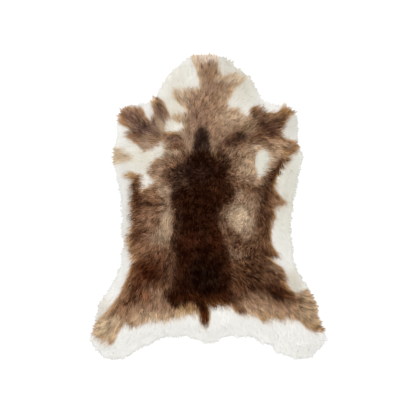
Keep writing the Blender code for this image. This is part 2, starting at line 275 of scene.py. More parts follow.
# %% The shades of the brown hair
# Columns: name, across, along, reach across, reach along, turn in degrees, colour, strength.
SHADES = (
    # neck and nape
    ("throat tips left", -5.4, 55.4, 1.5, 4.6, 14, "#c4b29b", 0.9),
    ("throat end", 0.4, 58.2, 5, 2, 0, "#e9e0d4", 0.95),
    ("throat", 0, 54.6, 3.4, 3.6, 0, "#92765d", 0.6),
    ("throat streak", 1.4, 51, 2, 2, 0, "#84664d", 0.6),
    ("neck arm", 12.4, 50.2, 3.4, 1.7, 10, "#d0c3ae", 0.9),
    ("neck arm dark", 6.8, 47.8, 3.2, 1.2, 18, "#7a5f4a", 0.7),
    ("neck arm light", 4.2, 49.6, 1.6, 0.9, 0, "#c9b59d", 0.8),
    ("neck arm root", 8.4, 49.2, 1.8, 1, 0, "#cbbba5", 0.9),
    ("nape top", 0.6, 46, 2.4, 2, 0, "#83685a", 0.6),
    ("nape corner", -11.8, 44, 2.4, 1.8, 0, "#d0c1aa", 0.9),
    ("nape left streak", -11, 41.2, 0.8, 2.4, 38, "#947755", 0.8),
    ("nape left side", -9.4, 42, 2.2, 3, 20, "#c2af99", 0.6),
    ("nape left notch", -9.2, 35.4, 1.6, 1.6, 0, "#c2ae97", 0.7),
    ("nape left middle", -5, 43, 2.8, 2.4, 0, "#9b806b", 0.6),
    ("nape streak", 3.4, 43.6, 1.2, 3.6, -24, "#84694f", 0.6),
    ("nape right light", 6.2, 43, 1.6, 2.6, -20, "#a9937b", 0.7),
    ("nape middle", -2.2, 38.8, 1.8, 2, 0, "#80644e", 0.7),
    ("nape spur", -11.4, 34.8, 2.2, 1.2, 0, "#b29c80", 0.8),
    ("nape lower left", -5, 34.6, 2.9, 3, 0, "#8b7060", 0.7),
    ("nape lower right", 2.6, 35, 2.4, 3, 0, "#957a62", 0.6),
    ("nape above spine", -0.8, 32.4, 3.2, 1.8, 0, "#806451", 0.8),
    ("nape right side", 10, 34.6, 6, 2.8, 0, "#ae9981", 0.9),
    ("nape right streak", 12.6, 31.6, 4.4, 1.2, 24, "#8c7258", 0.7),
    ("nape right tip", 12.8, 34.6, 2, 1.4, 0, "#c5b299", 0.8),
    ("nape right low light", 7.6, 31, 3, 1.2, 15, "#9c866f", 0.6),
    ("nape foot right", 3, 28, 2.2, 2.8, 0, "#8a6f5a", 0.8),
    ("nape foot left", -7.6, 26, 2.2, 4.6, 0, "#98806d", 0.8),
    # left neck spot, left shoulder and chest
    ("left neck spot foot", -16.6, 34.2, 1.6, 1.2, 0, "#96806a", 0.8),
    ("left neck spot tips", -21.8, 41, 1.4, 1.8, -20, "#c6a983", 0.85),
    ("left neck spot seam", -17.6, 31.6, 0.8, 2, 25, "#cdbfab", 0.9),
    ("left shoulder outer core", -29.6, 35, 3, 2.2, -25, "#7b5d51", 0.8),
    ("left shoulder inner core", -25.4, 30.4, 3.6, 2.5, 0, "#58433d", 0.9),
    ("left shoulder low core", -28.6, 28, 2.2, 1, 0, "#6a4632", 0.8),
    ("left shoulder upper light", -27.4, 36.6, 1.4, 2, -20, "#80634f", 0.5),
    ("left shoulder left tips", -33.8, 35.6, 1.2, 2.8, 10, "#8f6d4c", 0.7),
    ("left shoulder arm", -20.8, 33.2, 1.5, 2.2, -20, "#5a4540", 0.8),
    ("left shoulder arm side", -18.6, 31.2, 0.9, 3.6, 25, "#b09b86", 0.9),
    ("left shoulder lower", -24, 26, 4, 1.7, 0, "#8f7560", 0.9),
    ("left shoulder hem", -25, 23.3, 3.2, 1.8, 12, "#ad9683", 1),
    ("left shoulder corner", -19.6, 25.6, 1.6, 1.8, 0, "#8d7258", 0.7),
    ("left chest", -13.2, 26.8, 2.6, 1.9, 0, "#5f4a40", 0.9),
    ("left chest hem", -13.6, 21.2, 3.2, 1, 0, "#b3a08a", 0.9),
    ("left chest corner", -16.2, 24.4, 1.4, 1.4, 0, "#b39c85", 0.8),
    ("left upper side", -12.4, 18.6, 2.4, 1.6, -40, "#836a57", 0.8),
    ("left side crest", -16.4, 18.8, 2.2, 1.2, -20, "#a1876f", 0.7),
    ("left side top", -19.6, 15.6, 2.8, 3.4, -30, "#9a816b", 0.9),
    ("left side hollow", -19.8, 10.4, 1.8, 2.2, 0, "#b0977d", 0.9),
    ("left side middle", -16.2, 11.2, 2.2, 3.4, -20, "#745947", 0.9),
    ("left side light", -17.6, 6.4, 1.6, 2, 0, "#b5a189", 1),
    ("left side above parting", -22.4, 5.4, 3.4, 1.8, 0, "#84674f", 0.8),
    # right shoulder side
    ("right side top", 29.8, 24.4, 5.6, 1.6, -5, "#a48a71", 0.8),
    ("right side tips", 34.8, 23.6, 1.8, 1.6, 0, "#9a7b52", 0.8),
    ("right side low tips", 31, 19.8, 3.2, 1.4, -45, "#bd9a72", 0.8),
    ("right shoulder tips", 30.6, 37.6, 2.6, 1.6, -40, "#a88558", 0.7),
    ("right shoulder heart", 24.2, 35.6, 3, 1.6, 0, "#8b7057", 0.6),
    ("right inner side", 26.2, 20.4, 1.7, 3.6, -20, "#b59f85", 0.8),
    ("right teeth", 24.2, 15.4, 1.2, 2.4, -25, "#c0aa90", 0.7),
    ("right dark rim", 28.6, 15.2, 1.6, 4.2, -33, "#311405", 1),
    ("right dark rim top", 26, 11.5, 1.9, 2.4, -20, "#3a1c0c", 1),
    ("right dark hollow", 24.2, 10.4, 1.8, 1.8, 0, "#4d3222", 0.9),
    ("right chest", 13.2, 17.4, 4.4, 4.8, 0, "#917a63", 0.9),
    ("right chest light", 15.4, 14.6, 2.2, 2.8, 0, "#ad9881", 0.8),
    ("right chest gold", 16.9, 15.4, 1.8, 4.2, 8, "#c8b296", 0.9),
    ("right chest foot", 14, 11.6, 4.4, 1.6, 0, "#8d745d", 0.7),
    ("right chest top", 9, 21, 3.6, 1.8, 20, "#957b66", 0.9),
    ("right chest crown", 15.8, 21.2, 2.2, 1.4, 0, "#ad957b", 0.8),
    ("right chest inner", 10.4, 18.2, 1.6, 2.6, 0, "#5a4232", 0.7),
    ("right chest dark fleck", 9.6, 13.4, 1.6, 2.2, 0, "#5c4433", 0.7),
    ("right back shoulder", 9.2, 10.8, 1.6, 2.4, 0, "#422b1d", 0.7),
    ("chest band", 12.8, 27, 4.2, 2.6, 15, "#24140f", 1),
    ("chest band foot", 6.8, 24.8, 3.8, 2.2, 20, "#443026", 0.8),
    ("chest band head", 16.6, 28.8, 2.2, 1.4, 30, "#6a5040", 0.7),
    ("right of chest band", 17.4, 24.6, 3.2, 1.6, -20, "#7c6450", 0.6),
    ("right of chest band top", 16.3, 30.6, 1.9, 2.6, -30, "#8d765f", 0.9),
    ("white spot brow", 19.4, 23, 3.2, 1.2, -5, "#bea890", 0.9),
    ("below the white spot", 19, 10, 3.6, 1.4, 0, "#a0886f", 0.9),
    ("right below shoulder", 23.6, 25.2, 5, 1.3, 0, "#927a63", 0.5),
    ("right dark arm", 15, 7.7, 4.2, 1.3, -10, "#553c2c", 0.9),
    ("right dark strip", 22.3, 4, 2.5, 5, 0, "#28150b", 1),
    ("right dark strip inner", 20.4, 5.8, 1.4, 2.2, 20, "#4b3223", 0.7),
    ("right dark strip low", 21.2, 3.6, 1.4, 1.6, 0, "#2a160c", 0.9),
    ("right light spot", 12.2, 4.4, 1.7, 2.2, 0, "#a58f79", 0.9),
    ("right waist", 10.2, 2.6, 1.4, 2, 0, "#5a402d", 0.7),
    ("right middle taupe", 17, 3, 3, 3, 0, "#8b715a", 0.7),
    ("crown", 13.6, -4.4, 3.9, 4.6, 0, "#c9b8a0", 0.85),
    ("crown upper left", 10.2, -2.4, 3.4, 3, 0, "#c0ae95", 0.8),
    ("crown upper right", 16.8, 0.6, 2.6, 2.6, 0, "#967e67", 0.7),
    ("crown left", 8.4, -3, 1.8, 3.4, 0, "#a38d75", 0.6),
    ("crown tail", 16, -9.6, 2.6, 3.2, -10, "#9c8670", 0.7),
    ("crown right", 17.4, -2.4, 1.6, 3, 0, "#8a715b", 0.6),
    ("crown shade", 5.6, -6, 1.9, 4.6, 12, "#785e4b", 0.9),
    ("crown brim", 7.2, -0.6, 2.2, 1.6, 0, "#553c2a", 0.8),
    ("crown foot", 10, -10.6, 2.6, 1.6, -20, "#5d4432", 0.9),
    ("right flank", 21.9, -6.6, 3, 5.8, 0, "#4c3322", 0.9),
    ("right flank dark fleck", 19.8, -2, 1.4, 1, 0, "#3f281c", 0.8),
    ("right strip fleck", 21, -1.6, 1.3, 1, 20, "#35221a", 0.8),
    ("right spur", 28.4, 1.8, 2.8, 1.4, 0, "#a28465", 0.9),
    ("right spur root", 24.6, 2.2, 1.6, 2.6, 0, "#6f4f38", 0.7),
    ("right loin dark", 15.4, -14.6, 4.8, 1.8, -8, "#4a3324", 0.9),
    ("right flank low", 19.6, -11.6, 1.8, 2.2, 0, "#775b42", 0.7),
    ("right loin spur", 25, -18.6, 2.4, 1.2, -35, "#553520", 0.8),
    ("right loin left", 9, -14.6, 2.4, 3, 0, "#5f4736", 0.8),
    ("right loin light", 11.6, -19, 4, 1.8, -15, "#84705f", 0.8),
    ("right loin low", 19.6, -17.4, 3, 1.6, -20, "#3f2817", 0.8),
    ("right lower flank", 21, -24.4, 7.8, 5.4, 0, "#352013", 0.9),
    ("right lower edge", 26.8, -23.2, 2.2, 1.8, 0, "#93785f", 0.8),
    ("right lower light", 13, -24, 4, 5, 0, "#452c1b", 0.9),
    ("right lower streaks", 13, -29, 3, 3.4, 0, "#432a1a", 0.8),
    ("right lower foot", 16.6, -31.8, 6.6, 2.4, -4, "#412819", 0.8),
    ("right rump root", 11.6, -33.6, 2, 2, 0, "#432614", 0.8),
    ("right rump", 22, -39.6, 10, 4.4, 0, "#a28870", 1),
    ("right rump top", 18, -36.8, 5, 1.4, 8, "#856850", 0.9),
    ("right rump shade", 27.2, -37.8, 4.2, 1.5, -4, "#6f5039", 0.8),
    ("right rump hem", 22, -43, 9, 1.6, 0, "#b0946f", 0.8),
    ("right rump low", 16.8, -40.6, 2.4, 1.6, 0, "#bda48a", 0.8),
    ("right leg", 38, -41, 5, 6.4, 25, "#ab9478", 1),
    ("right leg root", 34.2, -38.4, 2.2, 2.4, 0, "#7f6249", 0.85),
    ("right leg bend", 38.4, -37, 2.4, 1.4, -20, "#86694e", 0.7),
    ("right leg outer", 41.6, -40.8, 1.8, 3, 20, "#bfa98c", 0.8),
    ("right leg tip", 43.4, -43.6, 1.6, 2, 0, "#b39d7e", 0.8),
    ("right leg top", 37.6, -34.6, 3.4, 1.6, -20, "#baa489", 0.9),
    ("right leg dark hem", 40.4, -47, 3.4, 1.4, -15, "#a98d69", 0.7),
    ("right rump dark", 12.6, -40, 1.9, 1.5, 0, "#5a3c28", 0.9),
    ("right rump left edge", 11.4, -36.8, 1.2, 2.6, 0, "#5f4330", 0.8),
    ("right lower dark", 23, -31.2, 5.6, 2, -12, "#3a2112", 0.75),
    ("right stifle", 28.6, -33.8, 5.4, 3.4, -11, "#2c1206", 1),
    ("right stifle tip", 33.4, -35.4, 3, 1.1, -18, "#5b3b25", 0.9),
    # left flank and leg
    ("left spur", -30, 12.6, 2.6, 1, 0, "#b5966b", 1),
    ("left dark strip", -27.9, 4.5, 1.5, 6.1, 0, "#381a0e", 1),
    ("left strip foot", -28.2, -0.6, 2, 3.2, 0, "#4a2e1f", 0.9),
    ("left flank middle", -23, -5, 4, 4, 0, "#8a6b55", 0.8),
    ("left flank dark", -26.6, -11.4, 3.2, 3, -25, "#412518", 0.95),
    ("left flank edge", -28.4, -4.6, 1.4, 4, 0, "#5a3b28", 0.7),
    ("left flank low", -22.6, -12.4, 2.4, 2.6, 0, "#8a6b55", 0.8),
    ("left light streak", -16.2, -5, 2.1, 7.2, 0, "#a6927b", 0.95),
    ("left light top", -15.4, 5.4, 1, 2.6, 0, "#a38f7b", 0.7),
    ("left light cloud", -18.6, -11.4, 3, 3, 0, "#9c8872", 0.9),
    ("parting", -22, 0.9, 6.4, 0.75, 0, "#2c170b", 1),
    ("left fringe", -31.4, -14, 1, 5, 0, "#b08c62", 0.9),
    ("left flank tan", -27.2, -18.2, 2.8, 3, 15, "#916f54", 0.9),
    ("left flank foot", -19, -17.4, 2.6, 1.6, 0, "#6f5040", 0.8),
    ("left lower flank", -23, -25, 7.4, 6, 0, "#381809", 1),
    ("left lower flank outer", -28.5, -27.4, 2.2, 7, -14, "#472412", 0.9),
    ("left flank golden tips", -28.8, -20, 1.4, 1.8, 0, "#a8815c", 0.8),
    ("left loin dark", -17.8, -20.2, 2.6, 1.6, 0, "#472c1c", 0.8),
    ("left grey rim", -14.6, -24.4, 1.9, 6, 0, "#543c2e", 0.8),
    ("left grey rim foot", -16, -29.6, 1.6, 2, 0, "#5a4030", 0.6),
    ("left stifle", -27.4, -33.2, 3.2, 4.2, -20, "#482818", 0.95),
    ("left stifle rim", -33, -34.4, 1.2, 3.4, -34, "#8b6b52", 0.9),
    ("left leg outer side", -39.4, -41, 1.3, 5.4, -38, "#b79c7c", 0.85),
    ("left rump", -20.6, -37.4, 6, 4.8, 0, "#8f725b", 1),
    ("left rump top", -20, -33.4, 3.6, 1.4, 0, "#9a7e68", 0.9),
    ("left rump outer", -28.6, -41.4, 2.6, 2.4, 0, "#ad9076", 0.8),
    ("left rump rim", -31.4, -31.6, 1.4, 2.6, -35, "#967255", 0.6),
    ("left flank rim", -29.4, -26.6, 1.4, 2.2, -30, "#7f5c42", 0.6),
    ("left stifle inner", -24.2, -34.8, 2.2, 2.6, 0, "#5c3824", 0.95),
    ("left rump notch", -18.4, -31.6, 2, 1.6, 0, "#54361f", 0.8),
    ("left rump hem", -22, -43, 10, 2.2, 3, "#c0a98c", 0.9),
    ("left rump tan", -8, -41.4, 4.6, 1.6, 0, "#c4ad8a", 1),
    ("left rump dark foot", -12.6, -40, 1.6, 1.2, 0, "#6b4a34", 0.6),
    ("left leg", -40.6, -47.6, 4.8, 4.6, 15, "#c4b195", 1),
    ("left leg inner side", -36.2, -49, 1.4, 4, -14, "#c9b294", 0.9),
    ("left leg middle", -35.8, -44.8, 2.6, 1.8, 0, "#c6b095", 0.95),
    ("left leg tips", -40.6, -51.4, 3.2, 1.2, -25, "#a98a62", 0.6),
    ("left leg upper", -34, -41.4, 4.4, 2, -12, "#8f7056", 0.9),
    ("left leg dark", -37.6, -47.7, 0.7, 0.8, 0, "#6a4b34", 0.8),
)
print("Shades in the brown:", len(SHADES))

# %% [markdown]
# ## Shades of the back, the white and the mixed hair
# The dark back is never one black: it has warm, reddish places, and sooty ones where grey hair is
# mixed in. The white is darker and creamier at the neck, and along the rim, most on the right, it is
# painted darker and a little warmer: painted shade where the hair rounds down to the floor. And in
# some places light and dark hairs stand side by side, which makes the coat look grizzled. Three more
# tables say where.

# %% The shades of the dark back, of the white ground and the grizzled places
# The columns of the first two are those of the shades above.
BACK_SHADES = (
    ("left back edge", -12.4, 11, 2, 4.2, 0, "#46342a", 0.8),
    ("left back streak", -8.6, 9, 1, 2.4, 35, "#4c3c31", 0.4),
    ("upper back left", -9, 14, 2.8, 3, 0, "#35251e", 0.7),
    ("upper back", -3, 14, 4.6, 4.6, 0, "#281913", 0.6),
    ("upper back light", -1.6, 23.4, 0.9, 1.2, 0, "#5c4a3f", 0.6),
    ("right back edge", 5.4, 20.6, 3, 1.8, -20, "#5a4231", 0.9),
    ("right back corner", 6, 16, 2.4, 1.6, 0, "#3a2418", 0.8),
    ("right back side", 7.6, 5, 2.4, 3, 0, "#3a2113", 0.6),
    ("middle back warm", 2, 6, 3.4, 4, 0, "#331a0d", 0.7),
    ("left back waist", -11.6, -6, 1.6, 6, 0, "#3b251a", 0.8),
    ("left back waist foot", -13, -12.4, 1.6, 1.6, 0, "#4a3528", 0.5),
    ("waist warm left", -7, -13, 4.6, 3, 0, "#35170a", 0.8),
    ("waist warm right", 3.6, -12, 2.6, 5, 0, "#371909", 0.75),
    ("loin left", -9, -22, 2.6, 4, 0, "#2f1408", 0.7),
    ("lower back", -1, -27, 7, 7, 0, "#120502", 0.9),
    ("lower back hem", -3, -35.6, 10, 1.6, 0, "#3a1b09", 0.8),
    ("lower back right", 7.4, -27, 1.8, 6, 0, "#2f1508", 0.7),
    ("lower back fringe", -8, -39.4, 3, 0.9, 0, "#a68659", 0.9),
    ("lower back fringe right", 4.6, -38.2, 4.6, 0.9, 0, "#8e6238", 0.8),
    ("tail", -1.4, -43, 1.5, 3, 0, "#472005", 0.8),
)
# Rows at the rim (right border, left border, right shoulder edge, right hip, left leg side) are painted
# shade where the white hair rounds down to the floor; the others are the white's own creamier tone.
GROUND_SHADES = (
    ("neck right", 13, 47, 6, 8, 0, "#dcd8ca", 0.9),
    ("neck left", -12, 50, 6, 8, 0, "#e7e4da", 0.9),
    ("right border", 32, 4, 6, 20, 0, "#dfddd1", 0.9),
    ("left border", -34, -6, 5, 22, 0, "#e4e4e0", 0.9),
    ("right shoulder edge", 34, 33, 4, 5, 0, "#dad8cf", 0.9),
    ("left band", -24, 19, 9, 6, 0, "#e3dfd2", 0.9),
    ("white spot", 21.4, 17.2, 5, 8, 0, "#e4e3d9", 1),
    ("throat right", 8, 56.5, 4, 3.4, 0, "#d7d3c7", 0.9),
    ("right hip", 33.6, -29, 3, 5, 0, "#d2ccbc", 0.8),
    ("left leg side", -41, -39, 3, 5, 0, "#dcd6cc", 0.8),
    ("left nape patch", -14, 36, 4, 8, 0, "#e4e0d3", 0.9),
)
# Columns: name, across, along, reach across, reach along, streaks.
GRIZZLE = (
    ("right chest", 14, 17, 6, 6, 0.22),
    ("right side", 27, 24, 6, 3, 0.16),
    ("crown", 14, -4, 7, 8, 0.15),
    ("loin", 13, -18, 6, 3.4, 0.2),
    ("right lower flank", 17, -26, 9, 6, 0.24),
    ("right rump", 26, -40, 10, 4, 0.08),
    ("right leg", 38, -42, 5, 6, 0.2),
    ("left shoulder", -27, 33, 5, 5, 0.08),
    ("left side", -18, -4, 4, 10, 0.08),
    ("left back", -11.4, 10, 3.4, 6, 0.14),
    ("nape right", 9, 34, 6, 4, 0.12),
    ("nape", -3, 40, 8, 6, 0.04),
    ("right of the white spot", 24.4, 14, 2, 5, 0.25),
)
print("Shades:", len(BACK_SHADES), "in the back,", len(GROUND_SHADES), "in the white")

# %% [markdown]
# ## From tables to a colour at any place
# Each patch covers what lies under it. Its edge is spread over a centimetre or so and pushed about
# by noise, because hairs of both colours overlap there. The shades of the brown are laid before the
# back covers them, and those of the back after it. The result is worked out once, on a chart with a
# step of 3 mm, which is finer than a lock of hair is wide.

# %% Patches and shades at any place
# Sizes in cm, as in the tables.
WAVE = 2.6
RIPPLE = 0.9
EDGE_WARP = (0.2, 0.15)  # how far wave and ripple push the edges
CLOUD_WARP = (0.3, 0.25)  # how much further they push the shades
EDGE_SPREAD = 1.1
CLOUD_EDGE = 1.5  # a higher power gives a cloud a flatter middle and a quicker end
CLOUD_SIZE = 1.4
FRINGE_SHADED = 0.6


def shaded(spots, colour, table):
    """Lays the clouds of a table over the colours."""
    for _, across, along, reach_x, reach_y, turn, shade, strength in table:
        c, s = np.cos(np.radians(turn)), np.sin(np.radians(turn))
        x, y = (spots - (across, along)).T
        u, v = (x * c + y * s) / reach_x, (y * c - x * s) / reach_y
        share = strength * np.exp(-((u * u + v * v) ** CLOUD_EDGE) / CLOUD_SIZE)[:, None]
        colour = colour * (1 - share) + linear(shade) * share
    return colour


def laid_over(spots, layers, patch):
    """Lays one patch over the layers: share of brown hair, its colour, its fringe, its streaks."""
    _, core, tips, fringe, tip_reach, streaks, edge, outline = patch
    depth = inset(spots, np.array(outline))[:, None]
    cover = np.clip(0.5 + depth / (EDGE_SPREAD * edge), 0, 1)
    cover = cover * cover * (3 - 2 * cover)
    tipped = np.exp(-((np.maximum(depth, 0) / tip_reach) ** 2))
    hair_here = linear(core) * (1 - tipped) + linear(tips) * tipped
    brown, *under = layers
    new = (hair_here, linear(fringe), streaks)
    whole = np.maximum(brown * (1 - cover) + cover, 1e-9)
    mixed = [(a * brown * (1 - cover) + b * cover) / whole for a, b in zip(under, new)]
    return [whole, *mixed]


def brown_hair(spots, clouded):
    """Share of brown hair at each spot, its colour, its fringe and its streaks."""
    every = np.ones((len(spots), 1))
    layers = [every * 0, every * linear(TAN), every * linear(TAN), every * 0]
    for patch in PATCHES:
        layers = laid_over(spots, layers, patch)
    brown, colour, fringe, streak = layers
    colour = shaded(clouded, colour, SHADES)
    paler = np.maximum(shaded(clouded, fringe, SHADES), fringe)
    fringe = fringe + FRINGE_SHADED * (paler - fringe)
    layers = [brown, colour, fringe, streak]
    for patch in BACK_PATCHES:
        layers = laid_over(spots, layers, patch)
    brown, colour, fringe, streak = layers
    return brown, shaded(clouded, colour, BACK_SHADES), fringe, streak


print("Brown hair at the middle, as a share:", brown_hair(np.zeros((1, 2)), np.zeros((1, 2)))[0][0])

# %% [markdown]
# ## Mottling, white spot and painted shade at the rim
# Three things still change the colours. Brown hair is mottled by small tufts that catch more or
# less light, and that light and shade is painted into its colour. The white spot is a hole in the
# brown, so it is cut out after all patches. And at the rim the white tips are painted a little grey:
# painted shade where the hair rounds down to the floor.

# %% The chart of the markings
MARKINGS_STEP = 3 * MM
MOTTLE = 2.2
MOTTLED = 0.16
FINE_MOTTLE = 0.6
# painted shade: the white hair is darkened towards the rim, where it rounds down to the floor
RIM_PAINTED_SHADE = 0.14
RIM_SHADE_REACH = 12 * MM


def markings(places):
    """Colour, fringe, ground, streaks and share of brown hair at each place."""
    spots = places / CM
    wave = np.stack([drift(spots, WAVE, 3), drift(spots, WAVE, 17)], 1)
    ripple = np.stack([drift(spots, RIPPLE, 5), drift(spots, RIPPLE, 23)], 1)
    spots = spots + EDGE_WARP[0] * wave + EDGE_WARP[1] * ripple
    clouded = spots + CLOUD_WARP[0] * wave + CLOUD_WARP[1] * ripple
    brown, colour, fringe, streak = brown_hair(spots, clouded)
    for _, across, along, reach_x, reach_y, more in GRIZZLE:
        x, y = ((clouded - (across, along)) / (reach_x, reach_y)).T
        streak = streak + more * np.exp(-x * x - y * y)[:, None]
    mottled = drift(spots, MOTTLE, 29) + FINE_MOTTLE * drift(spots, MOTTLE / 2, 31)
    colour = colour * (1 + MOTTLED * mottled[:, None])
    depth = inset(spots, np.array(WHITE_SPOT))[:, None]
    brown = brown * (1 - np.clip(0.5 + depth / (EDGE_SPREAD * WHITE_SPOT_EDGE), 0, 1))
    # painted shade at the rim, fading inwards
    rim_shade = RIM_PAINTED_SHADE * np.exp(-((inset(places, rim)[:, None] / RIM_SHADE_REACH) ** 2))
    white = np.ones((len(spots), 1)) * linear(CREAM)
    ground = shaded(spots, white, GROUND_SHADES) * (1 - rim_shade)
    return np.column_stack([colour, fringe, ground, streak, brown])


drawn = chart(MARKINGS_STEP, markings)
print("Places on the chart of markings:", drawn[2].shape[0] * drawn[2].shape[1])

# %% [markdown]
# ## Golden tips and creamy white
# Where brown hair ends, its golden tips lie over the white, and the white beside it looks creamy,
# because some of those tips reach further. Both are found from the share of brown hair: blurred a
# little it gives the fringe, and blurred more it gives the cream.

# %% The fringe between brown and white
# Shares of gold, and how many rounds of blur carry it away from the edge.
FRINGE_SHARE = 0.42
FRINGE_GAIN = 2.4
FRINGE_SPREAD = 10
FRINGE_MIX = 1.12  # where brown and white overlap, the fringe counts a little over its share
CREAM_TOUCH = 0.2
CREAM_SPREAD = 60
LEAST_STREAKS = 0.01  # even white hair isn't all one


def spread(share, rounds):
    """A share on the chart, blurred a little in every round."""
    for _ in range(rounds):
        beside = sum(np.roll(share, way, axis) for way in (-1, 1) for axis in (0, 1))
        share = share / 2 + beside / 8
    return share


def fringed(drawn):
    """The chart as the hair shows it: one mixed colour, its streaks and the share of brown hair."""
    low, step, values = drawn
    colour, fringe, ground = values[..., :3], values[..., 3:6], values[..., 6:9]
    streak, brown = values[..., 9:10], values[..., 10:]
    gold = FRINGE_SHARE * np.clip(FRINGE_GAIN * spread(1 - brown, FRINGE_SPREAD), 0, 1)
    inner = colour * (1 - gold) + fringe * gold
    touch = CREAM_TOUCH * spread(brown, CREAM_SPREAD)
    ground = ground * (1 - touch) + linear(GOLD) * touch
    between = 2 * brown * (1 - brown)
    rest = (1 - FRINGE_MIX * between) / (1 - between)
    mixed = rest * (ground * (1 - brown) ** 2 + inner * brown**2) + FRINGE_MIX * between * fringe
    return low, step, np.dstack([mixed, LEAST_STREAKS + streak * brown, brown])


dyed = fringed(drawn)
greens = dyed[2][..., 1]
print("Palest and darkest green on the chart:", greens.max().round(3), greens.min().round(3))

# %% [markdown]
# ## How the hair lies
# On a reindeer the hair runs from the spine down both flanks and back towards the tail, and on a
# hide that is spread out its tips point outwards all round the rim. The table gives that direction
# at a few spots. In between, the nearest spots count most, and near the rim the way out wins.
# Combing the hair by hand is the other way; a table gives the same coat every time.

# %% Flow of the hair
# Columns: across and along in cm, the way the tips point there in degrees from the right towards
# the neck, and how loosely the hair stands there, from 0 (combed flat) to 1 (upright, any way).
FLOW = (
    (-8, 56, 110, 0), (0, 58, 90, 0), (9, 55, 60, 0), (-18, 47, 145, 0), (-9, 45, 110, 0.1),
    (0, 46, 70, 0.1), (9, 45, 50, 0.1), (18, 47, 35, 0), (-20, 40, 130, 0), (-10, 39, 115, 0.2),
    (0, 38, 60, 0.2), (10, 37, 40, 0.2), (-33, 36, 145, 0), (-24, 34, 120, 0.1), (-17, 32, 120, 0.2),
    (-6, 31, 70, 0.3), (6, 31, 45, 0.3), (15, 31, 30, 0.2), (24, 32, 10, 0.2), (33, 37, 45, 0),
    (-31, 27, 180, 0), (-23, 26, 170, 0.2), (-14, 26, 180, 0.3), (-4, 25, 80, 0.5), (5, 25, 40, 0.4),
    (15, 24, 0, 0.3), (25, 24, -15, 0.1), (34, 24, 0, 0), (-35, 18, 180, 0), (-20, 17, 190, 0.3),
    (-10, 17, 120, 0.8), (0, 18, 70, 0.8), (8, 19, 45, 0.5), (14, 15, 80, 0.7), (26, 19, 160, 0.1),
    (30, 19, -25, 0), (24.4, 13, 150, 0.1), (28, 12, -40, 0), (-30, 10, 195, 0), (-20, 10, 175, 0.5),
    (-10, 9, 200, 1), (0, 9, 250, 1), (10, 9, -30, 0.8), (20, 9, -30, 0.4), (-27, 3, 205, 0.1),
    (-19, 3, 185, 0.4), (-10, 2, 260, 0.9), (0, 2, 240, 0.9), (10, 2, 230, 0.9), (16, 3, 240, 0.8),
    (23, 3, -45, 0.3), (-27, -7, 210, 0.1), (-16, -6, 270, 0.5), (-5, -8, 270, 0.9), (6, -8, 270, 0.9),
    (14, -8, 235, 0.8), (21, -8, 250, 0.6), (25, -6, -55, 0.2), (-29, -16, 205, 0),
    (-24, -16, 225, 0.2), (-16, -15, 280, 0.4), (-7, -15, 300, 0.5), (3, -15, 310, 0.7),
    (12, -14, 240, 0.8), (18, -15, 240, 0.7), (23, -17, -30, 0.3), (-29, -24, 230, 0),
    (-20, -24, 235, 0.1), (-12, -24, 280, 0.2), (-3, -24, 300, 0.4), (8, -22, -30, 0.2),
    (18, -22, -30, 0.1), (27, -24, -35, 0), (-33, -33, 240, 0), (-24, -34, 265, 0),
    (-14, -33, 270, 0.1), (-4, -33, -55, 0.2), (8, -33, -55, 0.1), (20, -33, -45, 0), (34, -35, -38, 0),
    (-41, -45, 220, 0), (-30, -45, 255, 0), (-12, -42, 270, 0), (0, -42, 270, 0), (14, -42, -55, 0),
    (26, -42, -70, 0), (41, -43, -45, 0), (-38, -56, 245, 0), (38, -56, -65, 0),
)
FLOW_SOFTNESS = 4  # in square cm: keeps a spot close by from counting without limit
FLOW_FALL = 1.8
RIM_RULES = 5 * CM
RIM_PULL = 1.3
BIG_TURN = np.radians(20)
BIG_SWIRL = 3.2 * CM
BIG_TURN_DEPTH = 8 * CM
LEAST_TURN = 0.35
SMALL_TURN = np.radians(16)
SMALL_SWIRL = 0.9 * CM
LOOSE_TURN = np.radians(55)


def hair_flow(places):
    """Angle in which the hair tips point, how loose they are and how far inside the rim."""
    out, inside = outward(places)
    total = np.zeros_like(places)
    loose = np.zeros(len(places))
    weights = np.zeros(len(places))
    for across, along, turn, looseness in FLOW:
        weight = (((places / CM - (across, along)) ** 2).sum(1) + FLOW_SOFTNESS) ** -FLOW_FALL
        total += np.outer(weight, (np.cos(np.radians(turn)), np.sin(np.radians(turn))))
        loose += weight * looseness
        weights += weight
    total /= np.linalg.norm(total, axis=1)[:, None]
    loose /= weights
    share = np.clip(1 - inside / RIM_RULES, 0, 1)[:, None]
    flow = total * (1 - share) + out * RIM_PULL * share
    angle = np.arctan2(flow[:, 1], flow[:, 0])
    angle += BIG_TURN * np.clip(inside / BIG_TURN_DEPTH, LEAST_TURN, 1) * drift(places, BIG_SWIRL, 41)
    angle += (SMALL_TURN + LOOSE_TURN * loose) * drift(places, SMALL_SWIRL, 43)
    return angle, loose, inside


print("Spots in the table of the flow:", len(FLOW))

# %% [markdown]
# ## A lock of hair
# Fur this dense isn't seen hair by hair but as thin pointed locks. One lock is six flat blades that
# start beside each other and draw together at the tip. They start half up in the coat, since what
# lies deeper is never seen. Each blade is a kite of two triangles, made from a circle of four
# points: enough to catch the light as a strand. Six different locks, turned, stretched and tinted,
# make the whole coat. Curves with a hair thickness would render as well, but they can't be saved as
# a mesh.

